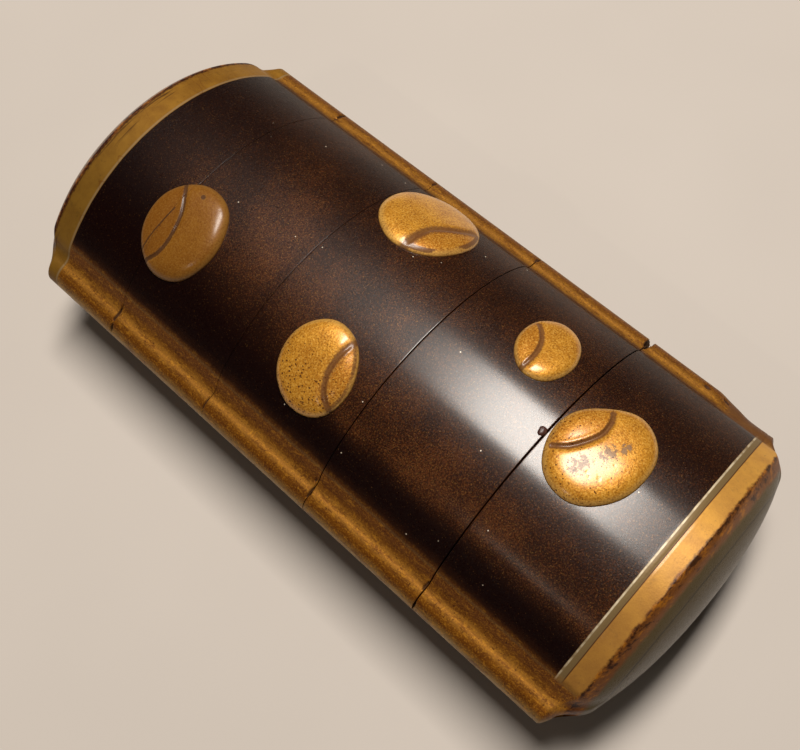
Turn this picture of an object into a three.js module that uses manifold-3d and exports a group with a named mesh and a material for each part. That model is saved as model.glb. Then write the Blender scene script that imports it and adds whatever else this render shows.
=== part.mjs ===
// Inro: a small five-part lacquered case that lies on its back, front face up.
// Four stacking cases and a lid slide into each other on thin risers, and two cord
// channels run through the ridges at the sides. Millimetres, +Z up, +Y towards the lid.
// The origin is under the middle of the case, on the surface that it lies on.

import * as THREE from 'three';
import { mergeVertices } from 'three/addons/utils/BufferGeometryUtils.js';
import Module from 'manifold-3d';

const wasm = await Module();
wasm.setup();

// ---------------------------------------------------------------- driving dimensions

const WIDTH = 44; // across both cord ridges
const CREST = 12.1; // from the mid plane to the top of the front face
const FACE_RADIUS = 24.6; // roundness of the front and back faces
const SHOULDER_AT = 17.6; // half width where the face starts to turn down faster
const SHOULDER_RADIUS = 5;
const SHOULDER_SLOPE = THREE.MathUtils.degToRad(65);
const RIDGE_RADIUS = 2.5; // the rolled cord ridge at each side
const CHANNEL_RADIUS = 1.1; // the cord channel through each ridge
const BACK_FLAT_DEPTH = 0.5; // how much of the back's crown is flattened

const HEIGHTS = { bottom: 19.9, lower: 17.4, middle: 17.5, upper: 17.1, lid: 14.3 };
const JOINT_GAP = 0.3; // between one part's rim and the next
const SLIDING_GAP = 0.3; // between a riser and the recess around it
const WALL = 1.5; // outer wall around a recess
const RISER_WALL = 0.9;
const RISER_HEIGHT = 6.2;
const FLOOR = 1.6;
const RECESS_HALF_WIDTH = 17.3;
const CORNER_RADIUS = 1.2; // inside the hollow, at its two sides

const END_DOME = 4.2; // how far each end bulges beyond its rim
const END_ROUND = 2.2; // exponents of the dome's profile: fullness
const END_EDGE = 0.75; // and steepness at the rim
const OVAL_FROM = 0.3; // share of the way in at which a dome has become a plain oval
const OVAL_WIDTH = 0.93; // that oval's width, as a share of the case's width
const RIDGE_SETBACK = 1.7; // how much shorter the ridges end than the rims between them
const HOLLOW_END = 2.5; // bulge of the hollow inside each end
const HOLLOW_RIM = 0.3; // how far inside the rim plane the hollow's bulge starts

const BEAN_ROOT = 0.6; // depth of a relief's root inside the wall
const BEAN_ROUND = 3; // exponents of a relief's profile: flatness of its top
const BEAN_EDGE = 0.6; // and steepness at its edge
const BEAN_GROOVE = 0.34; // radius of the groove carved along a relief

// Raised beans on the front face: "across" is along the face from its crest and "along"
// is from the bottom rim. A groove runs through points in the bean's own half widths.
const BEANS = [
  {
    parts: ['lid', 'upper_case'],
    across: -8.5, along: 69.3, width: 12.9, length: 10.9, height: 1.0, tilt: 4,
    groove: [[-0.8, 0.38], [-0.1, 0.08], [0.73, 0.53]],
  },
  {
    parts: ['middle_case'],
    across: 14.1, along: 48.5, width: 14.2, length: 12.1, height: 1.0, tilt: -8,
    groove: [[-0.86, -0.3], [-0.2, -0.31], [0.5, -0.68]],
  },
  {
    parts: ['middle_case'],
    across: -10.6, along: 44.7, width: 11.7, length: 9.9, height: 1.0, tilt: 12,
    groove: [[-0.53, -0.63], [0.08, -0.4], [0.75, -0.58]],
  },
  {
    parts: ['lower_case'],
    across: 8.7, along: 26.3, width: 9.7, length: 7.3, height: 0.9, tilt: 10,
    groove: [[-0.85, 0.33], [-0.2, 0.24], [0.46, 0.6]],
  },
  {
    parts: ['bottom_case'],
    across: 2.2, along: 14.1, width: 13.4, length: 10.9, height: 1.1, tilt: -10,
    groove: [[-0.52, 0.61], [0.05, 0.28], [0.55, 0.42]],
  },
];

// ------------------------------------------------------------------- how fine the faces are

const ARC_STEPS = { ridge: 5, valley: 2, shoulder: 2, face: 9, corner: 3, hollow: 7 };
const CHANNEL_SIDES = 10;
const OUTER_SCALES = [1, 0.985, 0.95, 0.88, 0.72, 0.46, 0.16]; // rings of an end, from its rim in
const INNER_SCALES = [1, 0.94, 0.75, 0.4];
const BEAN_SIDES = 26;
const BEAN_SCALES = [1, 0.93, 0.8, 0.58, 0.3]; // rings of a bean, from its edge in
const GROOVE_STEPS = 9;
const GROOVE_ARC_STEPS = 3;

// --------------------------------------------------------------------- derived sizes

const FACE_CENTRE = CREST - FACE_RADIUS;
const RIDGE_AT = WIDTH / 2 - RIDGE_RADIUS;
const RIDGE_FROM = RIDGE_AT - RIDGE_RADIUS; // half widths between which an end is drawn back
const RIDGE_TO = RIDGE_AT + RIDGE_RADIUS / 2;
const BACK_LEVEL = -(CREST - BACK_FLAT_DEPTH);

const JOINTS = {};
let bodyLength = 0;
for (const [name, height] of Object.entries(HEIGHTS)) {
  JOINTS[name] = { low: bodyLength, high: bodyLength + height };
  bodyLength += height;
}

// ------------------------------------------------------------------ outlines in X and Z

/** Points of an arc from one angle to another, in the XZ plane. */
function arc(centreX, centreZ, radius, from, to, steps) {
  const curve = new THREE.EllipseCurve(centreX, centreZ, radius, radius, from, to, to < from);
  return curve.getPoints(steps);
}

/** A quarter outline, from the side to the crest, mirrored into the whole closed outline. */
function mirrored(quarter) {
  const left = quarter.slice(0, -1).reverse().map((p) => new THREE.Vector2(-p.x, p.y));
  const upper = quarter.concat(left);
  const lower = upper.map((p) => new THREE.Vector2(-p.x, -p.y));
  const onAxis = (p) => Math.abs(p.y) < 1e-9;
  return upper.filter((p) => !(onAxis(p) && p.x < 0)).concat(lower.filter((p) => !(onAxis(p) && p.x > 0)));
}

/** The outer section: crowned faces, tight shoulders, and a rolled ridge at each side. */
function outerOutline() {
  const shoulderFrom = Math.asin(SHOULDER_AT / FACE_RADIUS);
  const shoulderX = (FACE_RADIUS - SHOULDER_RADIUS) * Math.sin(shoulderFrom);
  const shoulderZ = FACE_CENTRE + (FACE_RADIUS - SHOULDER_RADIUS) * Math.cos(shoulderFrom);
  const up = Math.PI / 2;
  const out = new THREE.Vector2(Math.sin(SHOULDER_SLOPE), Math.cos(SHOULDER_SLOPE));
  const foot = new THREE.Vector2(shoulderX, shoulderZ).addScaledVector(out, SHOULDER_RADIUS);

  // The valley's arc touches the shoulder's foot and the ridge's roll.
  const fromRidge = foot.clone().sub(new THREE.Vector2(RIDGE_AT, 0));
  const valleyRadius = (fromRidge.lengthSq() - RIDGE_RADIUS ** 2)
    / (2 * RIDGE_RADIUS - 2 * fromRidge.dot(out));
  const valley = foot.clone().addScaledVector(out, valleyRadius);
  const touch = Math.atan2(valley.y, valley.x - RIDGE_AT);

  const quarter = [
    ...arc(RIDGE_AT, 0, RIDGE_RADIUS, 0, touch, ARC_STEPS.ridge).slice(0, -1),
    ...arc(valley.x, valley.y, valleyRadius, touch + Math.PI, 3 * up - SHOULDER_SLOPE, ARC_STEPS.valley)
      .slice(0, -1),
    ...arc(shoulderX, shoulderZ, SHOULDER_RADIUS, up - SHOULDER_SLOPE, up - shoulderFrom, ARC_STEPS.shoulder)
      .slice(0, -1),
    ...arc(0, FACE_CENTRE, FACE_RADIUS, up - shoulderFrom, up, ARC_STEPS.face),
  ];
  return mirrored(quarter).map((p) => new THREE.Vector2(p.x, Math.max(p.y, BACK_LEVEL)));
}

/** The section of a hollow, set in from the outer faces, with rounded corners. */
function hollowOutline(inset) {
  const radius = FACE_RADIUS - inset;
  const side = RECESS_HALF_WIDTH - (inset - WALL);
  const cornerX = side - CORNER_RADIUS;
  const cornerZ = FACE_CENTRE + Math.sqrt((radius - CORNER_RADIUS) ** 2 - cornerX ** 2);
  const turn = Math.atan2(cornerZ - FACE_CENTRE, cornerX);
  return mirrored([
    ...arc(cornerX, cornerZ, CORNER_RADIUS, 0, turn, ARC_STEPS.corner).slice(0, -1),
    ...arc(0, FACE_CENTRE, radius, turn, Math.PI / 2, ARC_STEPS.hollow),
  ]);
}

// -------------------------------------------------------------------- solids from rings

/** An outline placed at a height along the case, scaled towards its middle. */
function ring(outline, along, scale = 1) {
  return outline.map((p) => new THREE.Vector3(p.x * scale, along, p.y * scale));
}

/** A closed geometry through rings of equal count, each end closed by a fan. */
function loft(rings) {
  const count = rings[0].length;
  const points = rings.flat();
  const index = [];
  for (let r = 0; r + 1 < rings.length; r += 1) {
    for (let i = 0; i < count; i += 1) {
      const a = r * count + i;
      const b = r * count + ((i + 1) % count);
      index.push(a, b + count, b, a, a + count, b + count);
    }
  }
  const middle = (loop) => loop.reduce((sum, p) => sum.add(p), new THREE.Vector3()).divideScalar(count);
  const first = points.push(middle(rings[0])) - 1;
  const last = points.push(middle(rings[rings.length - 1])) - 1;
  const lastRing = (rings.length - 1) * count;
  for (let i = 0; i < count; i += 1) {
    const next = (i + 1) % count;
    index.push(first, i, next, last, lastRing + next, lastRing + i);
  }
  const geometry = new THREE.BufferGeometry().setFromPoints(points);
  geometry.setIndex(index);
  return geometry;
}

/** A manifold solid from any closed geometry. */
function solid(geometry) {
  geometry.deleteAttribute('normal');
  geometry.deleteAttribute('uv');
  const merged = mergeVertices(geometry, 1e-5);
  const vertProperties = new Float32Array(merged.attributes.position.array);
  const triVerts = new Uint32Array(merged.index.array);
  return new wasm.Manifold(new wasm.Mesh({ numProp: 3, vertProperties, triVerts }));
}

/** A straight prism of an outline between two heights. */
function prism(outline, low, high) {
  return solid(loft([ring(outline, low), ring(outline, high)]));
}

/** The share of a dome's bulge that is reached at a scale of its outline. */
function domeShare(scale) {
  return (1 - scale ** END_ROUND) ** END_EDGE;
}

/** Rings of a dome that closes towards its middle, turning from the outline to an oval. */
function domeRings(outline, rim, bulge, scales) {
  const halfWidth = OVAL_WIDTH * Math.max(...outline.map((p) => p.x));
  const halfHeight = Math.max(...outline.map((p) => p.y));
  const oval = outline.map((p) => {
    const angle = Math.atan2(p.y / halfHeight, p.x / halfWidth);
    return new THREE.Vector2(halfWidth * Math.cos(angle), halfHeight * Math.sin(angle));
  });
  return scales.map((scale) => {
    const share = THREE.MathUtils.smoothstep(1 - scale, 0, OVAL_FROM);
    const blend = outline.map((p, i) => p.clone().lerp(oval[i], share));
    return ring(blend, rim + bulge * domeShare(scale), scale);
  });
}

/** Rings of an outer end, whose rim is drawn back where the ridges end. */
function endRings(rim, bulge) {
  const rings = domeRings(OUTER, rim, bulge, OUTER_SCALES);
  for (const point of rings.flat()) {
    const share = THREE.MathUtils.smoothstep(Math.abs(point.x), RIDGE_FROM, RIDGE_TO);
    point.y -= Math.sign(bulge) * RIDGE_SETBACK * share;
  }
  return rings;
}

const OUTER = outerOutline();
const RECESS = hollowOutline(WALL);
const RISER = hollowOutline(WALL + SLIDING_GAP);
const HOLLOW = hollowOutline(WALL + SLIDING_GAP + RISER_WALL);

// ----------------------------------------------------------------------- the raised beans

/** A point on the front face, raised along its normal. */
function onFace(across, along, height) {
  const angle = across / FACE_RADIUS;
  const radius = FACE_RADIUS + height;
  return new THREE.Vector3(radius * Math.sin(angle), along, FACE_CENTRE + radius * Math.cos(angle));
}

/** A bean's point from its own coordinates, in half widths. */
function onBean(bean, u, v, height) {
  const turn = THREE.MathUtils.degToRad(bean.tilt);
  const x = (u * bean.width) / 2;
  const y = (v * bean.length) / 2;
  const across = bean.across + x * Math.cos(turn) - y * Math.sin(turn);
  const along = bean.along + x * Math.sin(turn) + y * Math.cos(turn);
  return onFace(across, along, height);
}

/** The bean's height over the face at a share of its outline, like a flat pebble. */
function beanHeight(bean, share) {
  return bean.height * (1 - share ** BEAN_ROUND) ** BEAN_EDGE;
}

/** One bean as a solid: a pebble on a root inside the wall, less its carved groove. */
function beanSolid(bean) {
  const loop = (share, height) => Array.from({ length: BEAN_SIDES }, (_, i) => {
    const t = (-2 * Math.PI * i) / BEAN_SIDES;
    return onBean(bean, share * Math.cos(t), share * Math.sin(t), height);
  });
  const body = solid(loft([loop(1, -BEAN_ROOT), ...BEAN_SCALES.map((s) => loop(s, beanHeight(bean, s)))]));

  const path = new THREE.SplineCurve(bean.groove.map(([u, v]) => new THREE.Vector2(u, v)));
  const bed = path.getPoints(GROOVE_STEPS)
    .map((p) => onBean(bean, p.x, p.y, beanHeight(bean, Math.min(1, p.length()))));
  const section = new THREE.Shape().absarc(0, 0, BEAN_GROOVE, 0, 2 * Math.PI);
  const groove = new THREE.ExtrudeGeometry(section, {
    extrudePath: new THREE.CatmullRomCurve3(bed),
    steps: GROOVE_STEPS,
    curveSegments: GROOVE_ARC_STEPS,
    bevelEnabled: false,
  });
  return body.subtract(solid(groove));
}

/** The beans, or shares of beans, that one part of the case carries. */
function addBeans(body, part, low, high) {
  const reach = new THREE.BoxGeometry(2 * WIDTH, high - low, 4 * CREST);
  reach.translate(0, (low + high) / 2, 0);
  const span = solid(reach);
  return BEANS.filter((bean) => bean.parts.includes(part))
    .reduce((sum, bean) => sum.add(beanSolid(bean).intersect(span)), body);
}

// -------------------------------------------------------------------- the five parts

/** The two cord channels, bored through both ridges. */
function channels() {
  const bore = (side) => {
    const length = 2 * bodyLength;
    const geometry = new THREE.CylinderGeometry(CHANNEL_RADIUS, CHANNEL_RADIUS, length, CHANNEL_SIDES);
    geometry.translate(side * RIDGE_AT, bodyLength / 2, 0);
    return solid(geometry);
  };
  return bore(-1).add(bore(1));
}

/** The riser that stands out of a case's upper rim. */
function riser(high) {
  return prism(RISER, high - JOINT_GAP - FLOOR, high + RISER_HEIGHT);
}

/** A middle case: recess below, floor, compartment above, and its riser. */
function stackingCase(part, { low, high }) {
  const body = prism(OUTER, low + JOINT_GAP / 2, high - JOINT_GAP / 2);
  const recessTop = low + RISER_HEIGHT + SLIDING_GAP;
  const shell = body.add(riser(high))
    .subtract(prism(RECESS, low - 1, recessTop))
    .subtract(prism(HOLLOW, recessTop + FLOOR, high + RISER_HEIGHT + 1));
  return addBeans(shell, part, low + JOINT_GAP / 2, high - JOINT_GAP / 2).subtract(channels());
}

/** The bottom case: a domed end, a hollow that follows it, and its riser. */
function bottomCase(part, { low, high }) {
  const dome = endRings(low, -END_DOME).reverse();
  const hollow = domeRings(HOLLOW, low + HOLLOW_RIM, -HOLLOW_END, INNER_SCALES).reverse();
  const shell = solid(loft([...dome, ring(OUTER, high - JOINT_GAP / 2)]))
    .add(riser(high))
    .subtract(solid(loft([...hollow, ring(HOLLOW, high + RISER_HEIGHT + 1)])));
  return addBeans(shell, part, low + JOINT_GAP / 2, high - JOINT_GAP / 2).subtract(channels());
}

/** The lid: a cap with a domed end, hollow right up under it. */
function lid(part, { low, high }) {
  const dome = endRings(high, END_DOME);
  const hollow = domeRings(RECESS, high - HOLLOW_RIM, HOLLOW_END, INNER_SCALES);
  const shell = solid(loft([ring(OUTER, low + JOINT_GAP / 2), ...dome]))
    .subtract(solid(loft([ring(RECESS, low - 1), ...hollow])));
  return addBeans(shell, part, low + JOINT_GAP / 2, high).subtract(channels());
}

// ------------------------------------------------------------------------ the scene

const LACQUER = { color: 0x2b1b14, roughness: 0.34, metalness: 0.1 };

/** A named mesh of a finished solid. */
function mesh(name, body) {
  const data = body.getMesh();
  const geometry = new THREE.BufferGeometry();
  geometry.setAttribute('position', new THREE.BufferAttribute(new Float32Array(data.vertProperties), 3));
  geometry.setIndex(new THREE.BufferAttribute(new Uint32Array(data.triVerts), 1));
  const piece = new THREE.Mesh(geometry, new THREE.MeshStandardMaterial(LACQUER));
  piece.name = name;
  return piece;
}

const inro = new THREE.Group();
inro.add(
  mesh('bottom_case', bottomCase('bottom_case', JOINTS.bottom)),
  mesh('lower_case', stackingCase('lower_case', JOINTS.lower)),
  mesh('middle_case', stackingCase('middle_case', JOINTS.middle)),
  mesh('upper_case', stackingCase('upper_case', JOINTS.upper)),
  mesh('lid', lid('lid', JOINTS.lid)),
);
inro.position.set(0, -bodyLength / 2, -BACK_LEVEL);

export default inro;
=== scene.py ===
"""The finished looks of a five-part lacquered inro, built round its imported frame.

Each part of the case is one closed shell, worked out as rows of points that run from the middle
of one hollow, over the joint face, along the outside and back to the middle of the next hollow.
The raised gold beans are pieces of their own, on roots that sit inside the walls.
Metres, in the frame's own axes: +Y towards the lid, +Z out of the front face. The tables of
beans, chips and lamps say where they use millimetres.
"""

from __future__ import annotations

import logging
import math
from dataclasses import dataclass, field
from enum import Enum
from typing import Sequence, Union

import bpy
import bmesh
import numpy as np
from mathutils import Matrix, Vector


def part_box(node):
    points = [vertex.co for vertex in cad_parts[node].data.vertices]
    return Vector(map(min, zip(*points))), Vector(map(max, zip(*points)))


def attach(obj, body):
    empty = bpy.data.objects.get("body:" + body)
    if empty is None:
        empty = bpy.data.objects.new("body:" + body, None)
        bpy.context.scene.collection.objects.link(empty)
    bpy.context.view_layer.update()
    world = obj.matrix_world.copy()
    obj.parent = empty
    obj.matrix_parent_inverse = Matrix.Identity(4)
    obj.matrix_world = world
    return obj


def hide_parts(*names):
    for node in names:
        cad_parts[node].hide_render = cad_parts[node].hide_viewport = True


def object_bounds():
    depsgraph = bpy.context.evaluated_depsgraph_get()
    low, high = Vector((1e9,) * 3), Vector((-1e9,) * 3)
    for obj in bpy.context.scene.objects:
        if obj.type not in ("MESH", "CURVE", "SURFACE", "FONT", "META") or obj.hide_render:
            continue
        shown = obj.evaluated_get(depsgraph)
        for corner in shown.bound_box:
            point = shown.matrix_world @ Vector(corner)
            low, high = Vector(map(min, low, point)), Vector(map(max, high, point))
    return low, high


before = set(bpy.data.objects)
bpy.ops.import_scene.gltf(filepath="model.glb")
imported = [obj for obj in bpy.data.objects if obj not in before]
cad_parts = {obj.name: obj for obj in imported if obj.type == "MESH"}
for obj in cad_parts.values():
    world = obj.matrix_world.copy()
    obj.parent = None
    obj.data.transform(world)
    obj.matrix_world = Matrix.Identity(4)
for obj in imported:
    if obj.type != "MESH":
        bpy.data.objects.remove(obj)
CAD_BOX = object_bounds()

MM = 0.001
LOG = logging.getLogger("inro")

# ---- the case's driving sizes

CASE_PARTS = ("bottom_case", "lower_case", "middle_case", "upper_case", "lid")
END_DOME = 4.2 * MM  # how far each end bulges beyond its rim
INNER_DOME = 2.5 * MM  # the same for the hollows behind the ends
INNER_SETBACK = 0.3 * MM
CAD_JOINT_GAP = 0.3 * MM
RISER_HEIGHT = 6.2 * MM
SLIDING_GAP = 0.3 * MM
WALL = 1.5 * MM
RISER_WALL = 0.9 * MM
FLOOR = 1.6 * MM
BACK_FLAT = 0.5 * MM  # how much of the back's crown is flattened
CHANNEL_RADIUS = 1.1 * MM
RIDGE_RADIUS = 2.5 * MM
RIDGE_SETBACK = 1.7 * MM
RIDGE_FADE = 7.0 * MM

# The silver line and the seam under it, in millimetres from the bottom rim.
SEAM, SILVER_FROM, SILVER_TO = 2.33, 2.36, 3.2

# How much an outline is shrunk at each row of a flat floor, and of a hollow's domed end.
FLOOR_SCALES = (0.98, 0.7, 0.3, 0.02)
DOME_SCALES = (0.985, 0.95, 0.88, 0.75, 0.55, 0.3, 0.02)


def smooth(value: np.ndarray | float, low: float, high: float) -> np.ndarray:
    """A smooth rise from 0 at low to 1 at high, or a fall: 3t^2 - 2t^3 of the clamped share t."""
    share = np.clip((value - low) / (high - low), 0.0, 1.0)
    return share * share * (3.0 - 2.0 * share)


def bell(value: np.ndarray, width: float | np.ndarray) -> np.ndarray:
    """A bell curve: e to the minus square of the value in widths."""
    return np.exp(-((value / width) ** 2))


def ripple(points: np.ndarray, wavelength: float, seed: int, waves: int = 9) -> np.ndarray:
    """Smooth noise between about -1 and 1: a sum of sine waves in seeded directions.

    Args:
        points: Places, as an array whose last axis is x, y, z.
        wavelength: The typical distance from crest to crest, in metres.
        seed: Which set of waves to use.
        waves: How many waves are summed.

    Returns:
        One number for each place.
    """
    draw = np.random.default_rng(seed)
    ways = draw.normal(size=(waves, 3))
    ways /= np.linalg.norm(ways, axis=1, keepdims=True)
    pace = 2.0 * math.pi / (wavelength * draw.uniform(0.6, 1.5, waves))
    phase = draw.uniform(0.0, 2.0 * math.pi, waves)
    return np.sin((points @ ways.T) * pace + phase).sum(axis=-1) / math.sqrt(waves)


def resampled(loop: np.ndarray, run: np.ndarray, wanted: np.ndarray) -> np.ndarray:
    """An outline's points at wanted places of its running measure, by straight interpolation."""
    return np.stack([np.interp(wanted, run, loop[:, axis]) for axis in (0, 1)], axis=1)


# ---- the cross section


@dataclass(frozen=True)
class Section:
    """The outer cross section: crowned faces, tight shoulders and a rolled ridge at each side."""

    half_width: float
    crest: float
    face_radius: float = 24.6 * MM
    shoulder_at: float = 17.6 * MM
    shoulder_radius: float = 5.0 * MM
    shoulder_slope: float = math.radians(65.0)
    recess_half_width: float = 17.3 * MM
    corner_radius: float = 1.2 * MM
    arc_points: int = 400
    crowding: float = 1.9
    crowded: tuple[float, float] = (15.6 * MM, 17.2 * MM)

    @property
    def ridge_at(self) -> float:
        """Half the distance between the two ridges' middles."""
        return self.half_width - RIDGE_RADIUS

    @property
    def face_centre(self) -> float:
        """The height of the front face's centre of curvature over the mid plane."""
        return self.crest - self.face_radius

    def _arc(self, x: float, z: float, radius: float, start: float, end: float) -> np.ndarray:
        """Points of an arc: centre plus radius times cosine and sine of an even run of angles."""
        angle = np.linspace(start, end, self.arc_points)
        return np.stack([x + radius * np.cos(angle), z + radius * np.sin(angle)], axis=1)

    def _whole(self, quarter: list[np.ndarray]) -> np.ndarray:
        """A quarter's arcs, from the side to the crest, mirrored into a closed outline.

        Args:
            quarter: The arcs, each ending where the next one starts.

        Returns:
            Points of the outline, with each shared point once.
        """
        run = np.concatenate([arc[:-1] for arc in quarter[:-1]] + quarter[-1:])
        upper = np.concatenate([run, (run[::-1] * (-1.0, 1.0))[1:]])
        return np.concatenate([upper, -upper[1:-1]])

    def outside(self) -> np.ndarray:
        """The outer outline: ridge roll, hollow valley, shoulder and crowned face, four times.

        Returns:
            Points of the closed outline, x and z from the mid plane, counter-clockwise.
        """
        start = math.asin(self.shoulder_at / self.face_radius)
        reach = self.face_radius - self.shoulder_radius
        shoulder = np.array([reach * math.sin(start), self.face_centre + reach * math.cos(start)])
        out = np.array([math.sin(self.shoulder_slope), math.cos(self.shoulder_slope)])
        foot = shoulder + out * self.shoulder_radius
        gap = foot - (self.ridge_at, 0.0)
        radius = (gap @ gap - RIDGE_RADIUS**2) / (2 * RIDGE_RADIUS - 2 * gap @ out)
        valley = foot + out * radius
        touch = math.atan2(valley[1], valley[0] - self.ridge_at)
        up = math.pi / 2
        loop = self._whole([
            self._arc(self.ridge_at, 0.0, RIDGE_RADIUS, 0.0, touch),
            self._arc(*valley, radius, touch + math.pi, 3 * up - self.shoulder_slope),
            self._arc(*shoulder, self.shoulder_radius, up - self.shoulder_slope, up - start),
            self._arc(0.0, self.face_centre, self.face_radius, up - start, up),
        ])
        loop[:, 1] = np.maximum(loop[:, 1], BACK_FLAT - self.crest)
        return loop

    def hollow(self, inset: float) -> np.ndarray:
        """The outline of a hollow, set in from the outer faces, with rounded corners.

        Args:
            inset: How far inside the outer face it lies.

        Returns:
            Points of the closed outline.
        """
        radius = self.face_radius - inset
        corner_x = self.recess_half_width - (inset - WALL) - self.corner_radius
        reach = radius - self.corner_radius
        corner_z = self.face_centre + math.sqrt(reach**2 - corner_x**2)
        turn = math.atan2(corner_z - self.face_centre, corner_x)
        return self._whole([
            self._arc(corner_x, corner_z, self.corner_radius, 0.0, turn),
            self._arc(0.0, self.face_centre, radius, turn, math.pi / 2),
        ])

    def turn_of(self, loop: np.ndarray) -> np.ndarray:
        """Each point's turn round the middle, in a frame that squeezes the section to a circle."""
        return np.unwrap(np.arctan2(loop[:, 1] / self.crest, loop[:, 0] / self.half_width))

    def spaced(self, loop: np.ndarray, count: int) -> np.ndarray:
        """An outline resampled so that its points crowd where the ridges and valleys are.

        The running length is stretched by a weight that rises near the sides, and the new points
        are at even shares of that stretched length.

        Args:
            loop: The closed outline.
            count: How many points to return.

        Returns:
            The resampled outline.
        """
        closed = np.concatenate([loop, loop[:1]])
        middle = (closed[1:] + closed[:-1]) / 2
        weight = 1.0 + self.crowding * smooth(np.abs(middle[:, 0]), *self.crowded)
        length = np.linalg.norm(np.diff(closed, axis=0), axis=1) * weight
        run = np.concatenate([[0.0], np.cumsum(length)])
        return resampled(closed, run, np.linspace(0.0, run[-1], count, endpoint=False))

    def matched(self, loop: np.ndarray, turns: np.ndarray) -> np.ndarray:
        """An outline resampled at given turns round the middle, to pair with another outline.

        Args:
            loop: The closed outline.
            turns: The turns to take its points at.

        Returns:
            The resampled outline.
        """
        own = self.turn_of(loop)
        own = np.concatenate([own - 2 * math.pi, own, own + 2 * math.pi])
        return resampled(np.concatenate([loop] * 3), own, turns)


# ---- meshes from arrays


class Surface(Enum):
    """Which finish a row of a shell's faces takes, as the index of its material."""

    OUTSIDE = 0
    INSIDE = 1


def linked(name: str, data: bpy.types.ID) -> bpy.types.Object:
    """A new object that holds the data, linked to the scene.

    Args:
        name: The object's name.
        data: Its mesh, light or camera.

    Returns:
        The object.
    """
    made = bpy.data.objects.new(name, data)
    bpy.context.scene.collection.objects.link(made)
    return made


def closed_mesh(
    name: str,
    points: np.ndarray,
    faces: list[list[int]],
    surfaces: np.ndarray | None = None,
    fields: dict[str, np.ndarray] | None = None,
) -> bpy.types.Object:
    """A smooth-shaded object from points and faces, turned so that its faces point out.

    The signed volume, a sixth of the summed triple products of its triangles, tells whether
    the faces point in, and then every face is reversed.

    Args:
        name: The object's name.
        points: The vertices, one row each.
        faces: The vertex numbers of each quad or triangle.
        surfaces: The material index of each face.
        fields: Numbers to keep on the first vertices, by attribute name; the rest get 0.

    Returns:
        The new object, linked to the scene.
    """
    corners = np.array([(*face, face[-1])[:4] for face in faces])
    a, b, c, d = (points[corner] for corner in corners.T)
    if (a * (np.cross(b, c) + np.cross(c, d))).sum() < 0.0:
        faces = [face[::-1] for face in faces]
    mesh = bpy.data.meshes.new(name)
    mesh.from_pydata(points.tolist(), [], faces)
    mesh.polygons.foreach_set("use_smooth", np.ones(len(faces), dtype=bool))
    if surfaces is not None:
        mesh.polygons.foreach_set("material_index", surfaces.astype(np.int32))
    for title, values in (fields or {}).items():
        kept = np.zeros(len(points), np.float32)
        kept[:values.size] = values.ravel()
        mesh.attributes.new(title, "FLOAT", "POINT").data.foreach_set("value", kept)
    mesh.update()
    return linked(name, mesh)


def row_faces(rows: int, count: int) -> list[list[int]]:
    """The faces of closed rows of points that are followed by two poles.

    Quads join neighbouring rows, then triangles close the first row on the first pole, and the
    last row on the second.

    Args:
        rows: How many rows there are.
        count: How many points each row has.

    Returns:
        The vertex numbers of each face.
    """
    here, start = np.arange(count), np.arange(rows - 1)[:, None] * count
    side, total, last = (here + 1) % count, rows * count, (rows - 1) * count
    quads = np.stack([start + here, start + side, start + side + count, start + here + count], -1)
    first_pole, last_pole = np.full((2, count), [[total], [total + 1]])
    first = np.stack([first_pole, side, here], axis=1)
    final = np.stack([last_pole, last + here, last + side], axis=1)
    return quads.reshape(-1, 4).tolist() + first.tolist() + final.tolist()


# ---- the whole case's measures


@dataclass(frozen=True)
class Joint:
    """A joint between two parts: where it lies, how far it stands open, and its edges' rounding."""

    along: float
    gap: float
    rounding: float

    def face(self, sign: int) -> float:
        """The joint face of the part above it (1) or below it (-1)."""
        return self.along + sign * self.gap / 2


JOINT_GAPS = ((0.15, 0.06), (0.1, 0.05), (0.055, 0.03), (0.05, 0.03))  # gap and rounding, mm


@dataclass
class CaseShape:
    """The whole case's measures, worked out from the frame."""

    section: Section
    middle: float
    bottom_rim: float
    lid_rim: float
    joints: tuple[Joint, ...]
    count: int = 512
    around: np.ndarray = field(init=False)
    recess: np.ndarray = field(init=False)
    riser: np.ndarray = field(init=False)
    hollow: np.ndarray = field(init=False)

    def __post_init__(self) -> None:
        """Samples the four outlines at the same turns, so that their points pair up."""
        section = self.section
        self.around = section.spaced(section.outside(), self.count)
        turns = section.turn_of(self.around)
        self.recess, self.riser, self.hollow = (
            section.matched(section.hollow(inset), turns)
            for inset in (WALL, WALL + SLIDING_GAP, WALL + SLIDING_GAP + RISER_WALL)
        )

    @classmethod
    def from_frame(cls) -> "CaseShape":
        """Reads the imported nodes' boxes.

        Returns:
            The measures they give.
        """
        low, high = CAD_BOX
        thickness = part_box("upper_case")[1].z
        crest = (thickness + BACK_FLAT) / 2
        return cls(
            section=Section(half_width=(high.x - low.x) / 2, crest=crest),
            middle=thickness - crest,
            bottom_rim=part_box("bottom_case")[0].y + END_DOME,
            lid_rim=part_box("lid")[1].y - END_DOME,
            joints=tuple(
                Joint(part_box(part)[0].y - CAD_JOINT_GAP / 2, gap * MM, rounding * MM)
                for part, (gap, rounding) in zip(CASE_PARTS[1:], JOINT_GAPS)
            ),
        )

    def normals(self) -> np.ndarray:
        """The outward direction at each point of the outer outline, across its neighbours.

        Returns:
            A unit direction for each point, x and z.
        """
        along = np.roll(self.around, -1, axis=0) - np.roll(self.around, 1, axis=0)
        out = np.stack([along[:, 1], -along[:, 0]], axis=1)
        return out / np.linalg.norm(out, axis=1, keepdims=True)


# ---- wear and chips


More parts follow.
